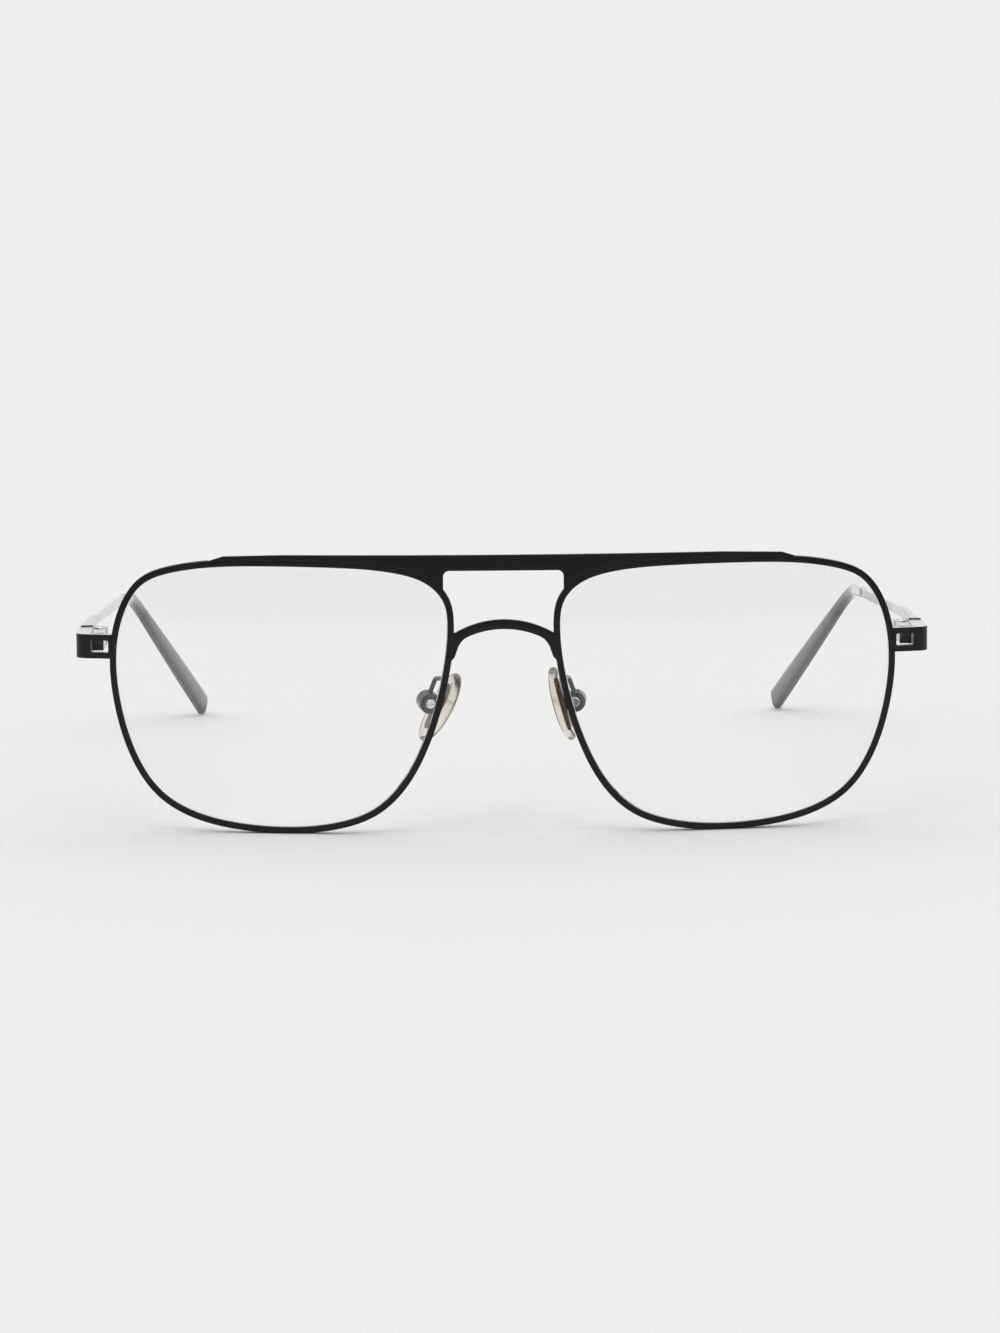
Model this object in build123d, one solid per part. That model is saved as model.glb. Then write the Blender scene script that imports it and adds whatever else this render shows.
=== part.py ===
# Double bridge glasses: a full-rim metal frame with a flat brow bar above an arched nose bridge.
#
# Lengths are millimetres. X runs to the wearer's left, Y back towards the ears, Z up.
# While the pieces are drawn, y = 0 is the foremost point of the front and z = 0 is the table.
# The glasses stand on the bottoms of their eyewires and on the ends of their temple tips.
# Sided pieces are drawn for the left, and mirrored for the right.

from build123d import *
import os
from math import cos, radians, sin, sqrt

os.makedirs("parts", exist_ok=True)

# Lenses, and the sphere that the whole front follows
lens_width = 57.0
lens_height = 45.2
lens_gap = 18.0
base_curve_radius = 265.0
lens_thickness = 1.3
lens_clearance = 0.04

# Eyewires: a grooved wire round each lens, split behind the end piece
rim_width = 1.1
rim_depth = 1.8
groove_depth = 0.45
groove_width = 0.8
split_gap = 0.12

# Outline of the opening that the eyewire leaves, from its nasal side and its bottom
opening_outline_shares = [
    (0.335, 0.995),
    (0.155, 0.974),
    (0.052, 0.925),
    (0.012, 0.866),
    (0.000, 0.775),
    (0.014, 0.600),
    (0.081, 0.312),
    (0.153, 0.154),
    (0.228, 0.069),
    (0.335, 0.019),
    (0.510, 0.000),
    (0.640, 0.014),
    (0.757, 0.050),
    (0.865, 0.130),
    (0.938, 0.263),
    (0.984, 0.443),
    (1.000, 0.647),
    (0.970, 0.830),
    (0.915, 0.928),
    (0.830, 0.972),
    (0.690, 0.996),
    (0.545, 1.000),
]

# Places at which a parallel outline is taken from the opening's own
outline_steps = 44

# Brow bar: a flat plate brazed on top of both eyewires
brow_depth = 1.5
brow_rise = 0.8
brow_height = 2.67
brow_straight_half = 37.0
brow_shoulder_half = 47.1
brow_shoulder_drop = 0.28
brow_end_half = 50.0
brow_end_drop = 1.2
brow_window_half = 10.1
brow_window_corner = 1.0
brow_foot_drop = 6.4

# Nose bridge: the lower arch, with a short leg down each eyewire
bridge_depth = 1.5
bridge_crown_drop = 10.8
bridge_arch_radius = 16.2
bridge_height = 1.65
bridge_under_radius = 15.0
bridge_under_half = 6.0
bridge_haunch_inset = 2.25
bridge_haunch_drop = 0.95
bridge_leg_inset = 1.55
bridge_leg_drop = 2.4
bridge_toe_inset = 1.15
bridge_toe_drop = 3.5
bridge_foot_drop = 4.5
bridge_seat = 0.2

# End pieces: windowed plates that turn back along the temples
end_reach = 5.9
end_leg_length = 10.74
end_height = 4.1
end_centre_z = 31.5
end_plate_depth = 1.4
end_corner_radius = 2.5
end_inner_radius = 0.5
end_leg_front_thickness = 2.57
end_leg_back_thickness = 2.25
window_width = 3.0
window_height = 2.05
window_inset = 4.15
window_corner = 0.25

# Closing blocks and their screw, behind the split of the eyewire
block_width = 1.4
block_depth = 2.2
block_height = 1.75
block_outset = 1.42
closing_screw_radius = 0.45
closing_head_radius = 0.7
closing_head_height = 0.4
closing_thread_clearance = 0.02

# Hinges: three barrels on one screw, set inside the leg of the end piece
hinge_height = 3.0
hinge_centre_z = 31.7
barrel_radius = 1.0
barrel_inset = 1.2
barrel_gap = 0.04
leaf_clearance = 0.15
front_leaf_length = 6.6
temple_leaf_length = 5.2
leaf_edge_round = 0.2
hinge_screw_radius = 0.55
hinge_bore_clearance = 0.05
hinge_head_radius = 0.85
hinge_head_height = 0.35
slot_width = 0.2
slot_depth = 0.18

# Temples: a flat metal arm that runs out as a core wire inside the tip
butt_gap = 0.05
temple_end_height = 3.9
temple_end_centre_z = 31.85
temple_taper_length = 15.0
arm_thickness = 1.15
arm_height = 1.8
arm_corner = 0.3
arm_inset = 1.1
arm_front_z = 33.1
bend_inset = 1.35
bend_y = 122.6
bend_z = 28.6
bend_radius = 22.0
tip_end_inset = 13.65
tip_end_y = 157.4
tip_end_z = 1.84
core_radius = 0.45
core_clearance = 0.04
core_end_share = 0.8

# Temple tips: moulded over the core wire, from a slim neck to a flat paddle with a squared end
tip_lead = 20.0
tip_neck_thickness = 1.63
tip_neck_height = 2.05
tip_bend_thickness = 1.75
tip_bend_height = 2.5
tip_paddle_thickness = 2.1
tip_paddle_height = 4.15
tip_paddle_share = 0.55
tip_end_thickness = 2.2
tip_end_height = 4.75
tip_corner_share = 0.42
tip_end_bevel = 0.4

# Nose pads: silicone on a metal insert, hung in a box at the end of a wire arm
pad_pivot_half = {"left": 12.2, "right": 12.7}
pad_pivot_y = 7.6
pad_pivot_z = 21.8
pad_tilt = {"left": 15.5, "right": 29.0}
pad_splay = {"left": 8.0, "right": 17.0}
pad_length = 12.9
pad_width = 7.2
pad_thickness = 2.2
pad_stand_off = 1.5
pad_edge_bevel = 0.8
pad_crown_radius = 26.0
pad_box_radius = 1.8
pad_box_depth = 2.7
pad_box_flat = 1.05
pad_slot_width = 1.3
pad_slot_back = 1.1
pad_lug_thickness = 1.1
pad_lug_radius = 0.95
pad_insert_length = 8.6
pad_insert_width = 3.4
pad_insert_thickness = 0.6
pad_insert_cover = 0.45
pad_insert_clearance = 0.02
pad_screw_radius = 0.45
pad_screw_clearance = 0.05
pad_head_radius = 0.85
pad_head_height = 0.4

# Pad arms: a wire that stands up from the back of the eyewire and turns down into the box
pad_wire_radius = 0.4
pad_wire_bend = 0.9
pad_wire_root_half = 10.05
pad_wire_root_y = 1.4
pad_wire_root_z = 25.4
pad_wire_rise_half = 10.3
pad_wire_rise_y = 4.0
pad_wire_rise_z = 26.2
pad_wire_turn_inset = 1.2
pad_wire_turn_y = 6.7
pad_wire_turn_z = 25.9

# Room for cuts that pass right through a piece
overrun = 1.0
front_room = 16.0


opening_width = lens_width - 2 * groove_depth
opening_height = lens_height - 2 * groove_depth
opening_nasal = lens_gap / 2 + groove_depth
opening_bottom = rim_width
opening_top = opening_bottom + opening_height
front_half_width = opening_nasal + opening_width + rim_width + end_reach
front_centre_z = opening_bottom + opening_height / 2


def sag(x, z):
    """How far behind the foremost point the front's sphere lies at x, z."""
    height = z - front_centre_z
    return base_curve_radius - sqrt(base_curve_radius**2 - x**2 - height**2)


def ball(inset):
    """The front's sphere, drawn in by an inset."""
    return Pos(0, base_curve_radius, front_centre_z) * Sphere(base_curve_radius - inset)


def prism(sketch):
    """A front view, drawn as x and z, carried straight through the whole depth of the front."""
    return extrude(Plane.XZ.offset(-front_room) * sketch, amount=front_room + overrun)


def front_slice(sketch, near, far):
    """What a prism leaves between two depths behind the front's sphere."""
    return (prism(sketch) & ball(near)) - ball(far)


def right_of(solid):
    """The right piece that matches a left one."""
    return mirror(solid, about=Plane.YZ)


def box_between(low, high):
    """A block from its lowest corner to its highest."""
    size = [b - a for a, b in zip(low, high)]
    return Pos(*low) * Box(*size, align=(Align.MIN, Align.MIN, Align.MIN))


def axle(near, far, radius):
    """A cylinder along X between two places."""
    length = far - near
    lying = Rot(0, 90, 0) * Cylinder(radius, length, align=(Align.CENTER, Align.CENTER, Align.MIN))
    return Pos(near, 0, 0) * lying


def post(x, y, low, high, radius):
    """An upright cylinder between two heights."""
    return Pos(x, y, low) * Cylinder(radius, high - low, align=(Align.CENTER, Align.CENTER, Align.MIN))


# Eyewires
outline_points = [
    (opening_nasal + across * opening_width, opening_bottom + up * opening_height)
    for across, up in opening_outline_shares
]
opening_edge = Spline(*outline_points, periodic=True)


def outline(distance):
    """The lens opening's outline, moved out by a distance all round."""
    points = []
    for step in range(outline_steps):
        share = step / outline_steps
        along = opening_edge.tangent_at(share)
        outwards = Vector(along.Y, -along.X)
        points.append(opening_edge.position_at(share) + outwards * distance)
    return make_face(Spline(*points, periodic=True))


opening = outline(0)
rim_outline = outline(rim_width)
groove_outline = outline(groove_depth)
middle_depth = rim_depth / 2
eyewire_room = front_slice(rim_outline, 0, rim_depth)

rim = front_slice(rim_outline - opening, 0, rim_depth)
rim -= front_slice(groove_outline, middle_depth - groove_width / 2, middle_depth + groove_width / 2)
split_z = end_centre_z
split = box_between(
    (opening_nasal + opening_width / 2, 0, split_z - split_gap / 2),
    (front_half_width, front_room, split_z + split_gap / 2),
)
rim -= split

# Lenses, with a tongue that runs in the groove
lens_body = outline(-lens_clearance)
lens_tongue = outline(groove_depth - lens_clearance)
tongue_half = groove_width / 2 - lens_clearance
lens = front_slice(lens_body, middle_depth - lens_thickness / 2, middle_depth + lens_thickness / 2)
lens += front_slice(lens_tongue, middle_depth - tongue_half, middle_depth + tongue_half)

# Brow bar
rims_outline = rim_outline + right_of(rim_outline)
brow_top = opening_top + rim_width + brow_rise
brow_foot = brow_top - brow_foot_drop
brow_half = make_face(Polyline(
    (0, brow_foot),
    (brow_window_half + opening_nasal, brow_foot),
    (brow_straight_half, opening_top),
    (brow_end_half, brow_top - brow_end_drop),
    (brow_shoulder_half, brow_top - brow_shoulder_drop),
    (brow_straight_half, brow_top),
    (0, brow_top),
    close=True,
))
brow_window = Pos(0, brow_top - brow_height) * Rectangle(
    2 * brow_window_half, 2 * brow_foot_drop, align=(Align.CENTER, Align.MAX)
)
brow_window = fillet(brow_window.vertices().group_by(Axis.Y)[-1], brow_window_corner)
brow_sketch = brow_half + right_of(brow_half) - brow_window - rims_outline
brow_bar = front_slice(brow_sketch, 0, brow_depth)

# Nose bridge
bridge_crown = brow_top - bridge_crown_drop
bridge_under = bridge_crown - bridge_height
bridge_seat_half = opening_nasal - bridge_seat


def arch_point(crown, radius, half):
    """A point of an arch, at a distance from the middle."""
    return (half, crown - radius + sqrt(radius**2 - half**2))


arch_end = arch_point(bridge_crown, bridge_arch_radius, bridge_seat_half)
under_end = arch_point(bridge_under, bridge_under_radius, bridge_under_half)
haunch = (opening_nasal - bridge_haunch_inset, under_end[1] - bridge_haunch_drop)
leg = (opening_nasal - bridge_leg_inset, under_end[1] - bridge_leg_drop)
toe = (opening_nasal - bridge_toe_inset, under_end[1] - bridge_toe_drop)
foot = (bridge_seat_half, under_end[1] - bridge_foot_drop)
under_middle = arch_point(bridge_under, bridge_under_radius, bridge_under_half / 2)
arch_middle = arch_point(bridge_crown, bridge_arch_radius, bridge_seat_half / 2)
bridge_edges = Curve() + [
    ThreePointArc((0, bridge_under), under_middle, under_end),
    Spline(under_end, haunch, leg),
    Line(leg, toe),
    Line(toe, foot),
    Line(foot, arch_end),
    ThreePointArc(arch_end, arch_middle, (0, bridge_crown)),
    Line((0, bridge_crown), (0, bridge_under)),
]
bridge_half = make_face(bridge_edges)
bridge_sketch = bridge_half + right_of(bridge_half) - rims_outline
nose_bridge = front_slice(bridge_sketch, 0, bridge_depth)

# End pieces
end_root = opening_nasal + opening_width
hinge_y = sag(front_half_width, end_centre_z) + end_leg_length
leg_front_half = front_half_width - end_leg_front_thickness
leg_back_half = front_half_width - end_leg_back_thickness
end_plan = make_face(Polyline(
    (end_root, sag(end_root, end_centre_z)),
    (front_half_width, sag(front_half_width, end_centre_z)),
    (front_half_width, hinge_y),
    (leg_back_half, hinge_y),
    (leg_front_half, sag(leg_front_half, end_centre_z) + end_plate_depth),
    (end_root, sag(end_root, end_centre_z) + end_plate_depth),
    close=True,
))
outer_corner = end_plan.vertices().filter_by(lambda v: v.X > leg_back_half and v.Y < hinge_y)
end_plan = fillet(outer_corner, end_corner_radius)
inner_corner = end_plan.vertices().sort_by_distance(
    (leg_front_half, sag(leg_front_half, end_centre_z) + end_plate_depth)
)[0]
end_plan = fillet(inner_corner, end_inner_radius)
end_bottom = end_centre_z - end_height / 2
end_top = end_centre_z + end_height / 2
end_piece = extrude(Pos(0, 0, end_bottom) * end_plan, amount=end_height)
end_window = RectangleRounded(window_width, window_height, window_corner)
end_piece -= prism(Pos(front_half_width - window_inset, end_centre_z) * end_window)
end_piece -= prism(rim_outline)

# Closing blocks and closing screw
block_inner = end_root - block_width + block_outset
block_middle = block_inner + block_width / 2
block_front = sag(block_middle, split_z) + rim_depth
block_outline = RectangleRounded(block_width, 2 * block_depth, block_width / 4)
block_sketch = Pos(block_middle, block_front) * block_outline


def closing_block(low, high):
    """One block, brazed to the back of the eyewire."""
    return extrude(Pos(0, 0, low) * block_sketch, amount=high - low) & ball(rim_depth)


screw_y = block_front + block_depth / 2
upper_low = split_z + split_gap / 2
upper_high = upper_low + block_height
lower_high = split_z - split_gap / 2
lower_low = lower_high - block_height
closing_bore = post(
    block_middle, screw_y, lower_low - overrun, upper_high - block_height / 4,
    closing_screw_radius + closing_thread_clearance,
)
closing_block_upper = closing_block(upper_low, upper_high) - closing_bore
closing_block_lower = closing_block(lower_low, lower_high) - closing_bore
closing_screw = post(block_middle, screw_y, lower_low, upper_high - block_height / 3, closing_screw_radius)
closing_screw += post(block_middle, screw_y, lower_low - closing_head_height, lower_low, closing_head_radius)
closing_slot = Pos(block_middle, screw_y, lower_low - closing_head_height) * Box(
    2 * closing_head_radius, slot_width, 2 * slot_depth
)
closing_screw -= closing_slot

# Hinges
hinge_x = leg_back_half - barrel_inset
hinge_low = hinge_centre_z - hinge_height / 2
hinge_high = hinge_centre_z + hinge_height / 2
barrel_height = hinge_height / 3
tongue_low = hinge_centre_z - barrel_height / 2
tongue_high = hinge_centre_z + barrel_height / 2
leaf_inner = hinge_x - barrel_radius
hinge_bore = post(
    hinge_x, hinge_y, hinge_low - overrun, hinge_high + overrun, hinge_screw_radius + hinge_bore_clearance
)

front_leaf = box_between(
    (leaf_inner, hinge_y - front_leaf_length, hinge_low), (front_half_width, hinge_y, hinge_high)
)
front_leaf_edges = front_leaf.edges().filter_by(Axis.Z).sort_by(Axis.X)[:2]
front_leaf = fillet(front_leaf_edges.sort_by(Axis.Y)[0], leaf_edge_round)
leg_solid = extrude(Pos(0, 0, end_bottom) * end_plan, amount=end_height)
front_hinge = front_leaf - leg_solid
front_hinge += post(hinge_x, hinge_y, hinge_low, hinge_high, barrel_radius)
front_hinge -= box_between(
    (leaf_inner - overrun, hinge_y - barrel_radius - leaf_clearance, tongue_low - barrel_gap),
    (front_half_width, hinge_y + barrel_radius + overrun, tongue_high + barrel_gap),
)
front_hinge -= hinge_bore

# The temple's leaf stands clear of the outer barrels, and its tongue turns between them
temple_start = hinge_y + butt_gap
temple_outer = front_half_width
temple_inner = leg_back_half
leaf_block = box_between(
    (leaf_inner, hinge_y + barrel_radius + leaf_clearance, hinge_low),
    (temple_inner, hinge_y + temple_leaf_length, hinge_high),
)
leaf_block_edges = leaf_block.edges().filter_by(Axis.Z).sort_by(Axis.X)[:2]
leaf_block = fillet(leaf_block_edges.sort_by(Axis.Y)[1], leaf_edge_round)
tongue = box_between(
    (leaf_inner, hinge_y, tongue_low), (temple_inner, hinge_y + temple_leaf_length / 2, tongue_high)
)
tongue += post(hinge_x, hinge_y, tongue_low, tongue_high, barrel_radius)
temple_hinge = leaf_block + tongue - hinge_bore

hinge_screw = post(hinge_x, hinge_y, hinge_low, hinge_high, hinge_screw_radius)
hinge_screw += post(hinge_x, hinge_y, hinge_high, hinge_high + hinge_head_height, hinge_head_radius)
hinge_screw -= Pos(hinge_x, hinge_y, hinge_high + hinge_head_height) * Box(
    2 * hinge_head_radius, slot_width, 2 * slot_depth
)

# Temples
bend = Vector(front_half_width - bend_inset, bend_y, bend_z)
arm_start = Vector(front_half_width - arm_inset, hinge_y + temple_taper_length, arm_front_z)
tip_end = Vector(front_half_width - tip_end_inset, tip_end_y, tip_end_z)
arm_direction = (bend - arm_start).normalized()
tip_start = bend - arm_direction * tip_lead
arm_plane = Plane(origin=arm_start, x_dir=(1, 0, 0), z_dir=arm_direction)
tip_plane = Plane(origin=tip_start, x_dir=(1, 0, 0), z_dir=arm_direction)
arm_section = RectangleRounded(arm_thickness, arm_height, arm_corner)
temple_end_width = temple_outer - temple_inner
temple_end_plane = Plane(
    origin=((temple_outer + temple_inner) / 2, temple_start, temple_end_centre_z),
    x_dir=(1, 0, 0),
    z_dir=(0, 1, 0),
)
temple = loft([
    temple_end_plane * RectangleRounded(temple_end_width, temple_end_height, arm_corner),
    arm_plane * arm_section,
])
temple += extrude(arm_plane * arm_section, amount=(tip_start - arm_start).length)

# The tip's path runs straight, turns down and inwards in one bend, and runs straight again
core_path = FilletPolyline(tip_start, bend, tip_end, radius=bend_radius)
neck_run, bend_run, paddle_run = core_path.edges().sort_by_distance(tip_start)
paddle_direction = (tip_end - bend).normalized()
bend_normal = Axis((0, 0, 0), arm_direction.cross(paddle_direction))
neck_side = Vector(1, 0, 0) - arm_direction * arm_direction.X
paddle_side = neck_side.rotate(bend_normal, arm_direction.get_angle(paddle_direction))

core_plane = Plane(origin=tip_start, x_dir=neck_side, z_dir=arm_direction)
core_wire_path = core_path.trim(0, core_end_share)
core_wire = sweep(core_plane * Circle(core_radius), path=core_wire_path)
temple += core_wire
core_bore = sweep(core_plane * Circle(core_radius + core_clearance), path=core_wire_path)


def tip_section(run, share, side, thickness, height):
    """The tip's cross section on one run of its path, with its thin way along the side."""
    plane = Plane(origin=run.position_at(share), x_dir=side, z_dir=run.tangent_at(share))
    return plane * RectangleRounded(thickness, height, tip_corner_share * thickness)


neck_section = tip_section(neck_run, 0, neck_side, tip_neck_thickness, tip_neck_height)
bend_section = tip_section(bend_run, 0, neck_side, tip_bend_thickness, tip_bend_height)
bend_end_section = tip_section(bend_run, 1, paddle_side, tip_bend_thickness, tip_bend_height)
paddle_section = tip_section(
    paddle_run, tip_paddle_share, paddle_side, tip_paddle_thickness, tip_paddle_height
)
end_section = tip_section(paddle_run, 1, paddle_side, tip_end_thickness, tip_end_height)
temple_tip = loft([neck_section, bend_section], ruled=True)
temple_tip += sweep(bend_section, path=bend_run)
temple_tip += loft([bend_end_section, paddle_section], ruled=True)
temple_tip += loft([paddle_section, end_section], ruled=True)
tip_end_face = temple_tip.faces().sort_by_distance(tip_end)[0]
temple_tip = chamfer(tip_end_face.edges(), tip_end_bevel)
temple_tip -= core_bore


def pad_pieces(pivot_half, tilt, splay):
    """The pieces of one nose pad, drawn for the left, as it has been set on the nose."""
    t = radians(tilt)
    s = radians(splay)
    back = (sin(s) * cos(t), cos(s), sin(s) * sin(t))
    outward = (cos(s) * cos(t), -sin(s), cos(s) * sin(t))
    seat = Plane(origin=(pivot_half, pad_pivot_y, pad_pivot_z), x_dir=back, z_dir=outward)

    # In the pad's own frame X runs back, Y runs up the pad and Z points away from the nose
    half_depth = pad_box_depth / 2
    box_disc = axle(-half_depth, half_depth, pad_box_radius)
    box_body = box_disc & box_between(
        (-pad_box_depth, -pad_box_radius, -pad_box_flat), (pad_box_depth, pad_box_radius, pad_box_radius)
    )
    box_slot = box_between(
        (-pad_slot_width / 2, -pad_box_radius, -pad_box_radius),
        (pad_slot_width / 2, pad_box_radius, pad_slot_back),
    )
    screw_hole = axle(-pad_box_depth, pad_box_depth, pad_screw_radius + pad_screw_clearance)
    box = box_body - box_slot - screw_hole

    head_front = -half_depth - pad_head_height
    head_slot = Pos(head_front, 0, 0) * Box(2 * slot_depth, 2 * pad_head_radius, slot_width)
    screw = axle(-half_depth, half_depth, pad_screw_radius)
    screw = screw + axle(head_front, -half_depth, pad_head_radius) - head_slot

    pad_back = -pad_stand_off
    pad_front = -pad_stand_off - pad_thickness
    pad = Pos(0, 0, pad_front) * extrude(Ellipse(pad_width / 2, pad_length / 2), amount=pad_thickness)
    pad = pad & Pos(0, 0, pad_front + pad_crown_radius) * Sphere(pad_crown_radius)
    pad = chamfer(pad.edges().group_by(Axis.Z)[-1], pad_edge_bevel)

    insert_top = pad_back - pad_insert_cover
    insert_bottom = insert_top - pad_insert_thickness
    plate = Pos(0, 0, insert_bottom) * extrude(
        Ellipse(pad_insert_width / 2, pad_insert_length / 2), amount=pad_insert_thickness
    )
    plate_room = Pos(0, 0, insert_bottom - pad_insert_clearance) * extrude(
        Ellipse(pad_insert_width / 2 + pad_insert_clearance, pad_insert_length / 2 + pad_insert_clearance),
        amount=pad_insert_thickness + 2 * pad_insert_clearance,
    )
    lug = box_between(
        (-pad_lug_thickness / 2, -pad_lug_radius, insert_top),
        (pad_lug_thickness / 2, pad_lug_radius, 0),
    )
    lug += axle(-pad_lug_thickness / 2, pad_lug_thickness / 2, pad_lug_radius)
    lug_room = box_between(
        (-pad_lug_thickness / 2 - pad_insert_clearance, -pad_lug_radius - pad_insert_clearance, insert_top),
        (pad_lug_thickness / 2 + pad_insert_clearance, pad_lug_radius + pad_insert_clearance, 0),
    )
    core = plate + lug - screw_hole
    pad = pad - plate_room - lug_room

    wire_path = FilletPolyline(
        (pad_wire_root_half, pad_wire_root_y, pad_wire_root_z),
        (pad_wire_rise_half, pad_wire_rise_y, pad_wire_rise_z),
        (pivot_half - pad_wire_turn_inset, pad_wire_turn_y, pad_wire_turn_z),
        (pivot_half, pad_pivot_y, pad_pivot_z + pad_box_radius / 2),
        radius=pad_wire_bend,
    )
    wire_plane = Plane(origin=wire_path.position_at(0), z_dir=wire_path.tangent_at(0))
    wire = sweep(wire_plane * Circle(pad_wire_radius), path=wire_path)
    wire = wire - seat * box_disc - eyewire_room

    return {
        "pad_arm": wire,
        "pad_box": seat * box,
        "pad_screw": seat * screw,
        "pad_core": seat * core,
        "nose_pad": seat * pad,
    }


pieces = {"brow_bar": brow_bar, "nose_bridge": nose_bridge}
sided_pieces = {
    "rim": rim,
    "lens": lens,
    "end_piece": end_piece,
    "closing_block_upper": closing_block_upper,
    "closing_block_lower": closing_block_lower,
    "closing_screw": closing_screw,
    "front_hinge": front_hinge,
    "hinge_screw": hinge_screw,
    "temple_hinge": temple_hinge,
    "temple": temple,
    "temple_tip": temple_tip,
}
for side in ("left", "right"):
    both = sided_pieces | pad_pieces(pad_pivot_half[side], pad_tilt[side], pad_splay[side])
    for name, solid in both.items():
        pieces[f"{side}_{name}"] = solid if side == "left" else right_of(solid)

# The origin is on the table, under the middle of the glasses
whole = Compound(children=[Part() + piece for piece in pieces.values()]).bounding_box()
shift = Pos(0, -(whole.min.Y + whole.max.Y) / 2, -whole.min.Z)
print("depth", round(whole.size.Y, 4), "width", round(whole.size.X, 4), "lowest", round(whole.min.Z, 4))
print("hinge axis", round(hinge_x, 4), round(hinge_y + shift.position.Y, 4))
print("shift", round(shift.position.Y, 4), round(shift.position.Z, 4))
for name, piece in pieces.items():
    export_step(shift * piece, f"parts/{name}.step")
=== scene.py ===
# Double bridge glasses in a soft studio: a matt black metal front with a flat brow bar above an
# arched nose bridge, slim folding temples with polished tips, and clear silicone nose pads.
# Metres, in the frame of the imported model: +X to the wearer's left, +Y back to the ears, +Z up.

import math

import bmesh
import bpy
import numpy as np
from mathutils import Euler, Matrix, Vector
from mathutils.geometry import delaunay_2d_cdt


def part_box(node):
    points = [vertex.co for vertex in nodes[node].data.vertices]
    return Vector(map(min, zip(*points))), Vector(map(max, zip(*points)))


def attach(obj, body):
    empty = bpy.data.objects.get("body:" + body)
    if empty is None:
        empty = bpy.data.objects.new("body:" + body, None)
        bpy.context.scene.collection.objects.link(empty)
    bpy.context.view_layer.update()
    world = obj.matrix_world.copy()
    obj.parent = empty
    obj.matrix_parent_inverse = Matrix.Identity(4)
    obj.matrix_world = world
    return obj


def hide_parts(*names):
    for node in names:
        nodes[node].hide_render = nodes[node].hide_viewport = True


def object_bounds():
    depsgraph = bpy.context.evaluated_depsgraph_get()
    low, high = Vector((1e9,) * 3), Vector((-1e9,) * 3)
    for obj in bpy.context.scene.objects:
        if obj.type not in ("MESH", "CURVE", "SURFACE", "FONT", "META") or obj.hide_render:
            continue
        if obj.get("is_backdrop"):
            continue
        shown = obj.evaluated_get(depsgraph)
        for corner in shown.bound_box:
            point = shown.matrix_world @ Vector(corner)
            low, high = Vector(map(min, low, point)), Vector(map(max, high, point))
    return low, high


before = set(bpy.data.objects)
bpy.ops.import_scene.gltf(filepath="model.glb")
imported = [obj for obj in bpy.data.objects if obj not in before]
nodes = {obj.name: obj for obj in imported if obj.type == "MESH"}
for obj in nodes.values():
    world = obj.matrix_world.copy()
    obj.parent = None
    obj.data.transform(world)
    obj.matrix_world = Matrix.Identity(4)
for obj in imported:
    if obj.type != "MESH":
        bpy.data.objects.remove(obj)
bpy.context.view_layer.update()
mm = 0.001

# Table and studio
# A pale matt table runs out of sight behind the glasses and fades into a white tent. The tent is
# brightest overhead and dimmer on the camera's side, and one broad soft lamp stands high in front.

table_tone = (0.792, 0.789, 0.775, 1.0)
table_pale_tone = (0.802, 0.799, 0.785, 1.0)
table_grain_scale = 3.0
table_half = 20.0
fade_start = 0.35
fade_end = 3.0
tent_tone = (0.862, 0.862, 0.858, 1.0)
tent_top_tone = (1.15, 1.15, 1.15, 1.0)
tent_front_tone = (0.36, 0.36, 0.365, 1.0)
top_start = 0.15
top_end = 0.95
front_start = -0.74
front_end = 0.15
lamp_turn = (math.radians(38), math.radians(-12), math.radians(8))
lamp_strength = 1.0
lamp_spread = math.radians(55)


def new_object(name, data):
    """An object at the origin, linked to the scene."""
    made = bpy.data.objects.new(name, data)
    bpy.context.scene.collection.objects.link(made)
    return made


def feed(node, inputs):
    """Gives a node's inputs their values, or joins them to the outputs of other nodes."""
    for name, value in inputs.items():
        if isinstance(value, bpy.types.NodeSocket):
            node.id_data.links.new(value, node.inputs[name])
        else:
            node.inputs[name].default_value = value


def wired(tree, kind, inputs, **settings):
    """A new node of a tree, with its settings made and its inputs fed."""
    node = tree.nodes.new(kind)
    for setting, value in settings.items():
        setattr(node, setting, value)
    feed(node, inputs)
    return node


def smooth_step(value, low, high):
    """A mask that rises smoothly from 0 to 1 as a value runs from low to high."""
    step = wired(value.id_data, "ShaderNodeMapRange", {
        "Value": value, "From Min": low, "From Max": high,
    }, interpolation_type="SMOOTHSTEP")
    return step.outputs["Result"]


def mixed_tone(share, first, second):
    """A tone that passes from the first to the second with a share."""
    tones = wired(share.id_data, "ShaderNodeMixRGB", {"Fac": share, "Color1": first, "Color2": second})
    return tones.outputs["Color"]


def tent_group():
    """The tent's light in a direction: paler overhead, dimmer on the camera's side."""
    tree = bpy.data.node_groups.new("tent_light", "ShaderNodeTree")
    tree.interface.new_socket("Direction", in_out="INPUT", socket_type="NodeSocketVector")
    for name, tone in (("Side", tent_tone), ("Top", tent_top_tone), ("Front", tent_front_tone)):
        socket = tree.interface.new_socket(name, in_out="INPUT", socket_type="NodeSocketColor")
        socket.default_value = tone
    tree.interface.new_socket("Light", in_out="OUTPUT", socket_type="NodeSocketColor")
    given = tree.nodes.new("NodeGroupInput").outputs
    apart = wired(tree, "ShaderNodeSeparateXYZ", {"Vector": given["Direction"]}).outputs
    rise = mixed_tone(smooth_step(apart["Z"], top_start, top_end), given["Side"], given["Top"])
    whole = mixed_tone(smooth_step(apart["Y"], front_start, front_end), given["Front"], rise)
    wired(tree, "NodeGroupOutput", {"Light": whole})
    return tree


def new_material(name):
    """A material that holds only its shader and its output, joined."""
    material = bpy.data.materials.new(name)
    material.use_nodes = True
    tree = material.node_tree
    tree.nodes.clear()
    shader = tree.nodes.new("ShaderNodeBsdfPrincipled")
    wired(tree, "ShaderNodeOutputMaterial", {"Surface": shader.outputs["BSDF"]})
    return material, shader


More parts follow.
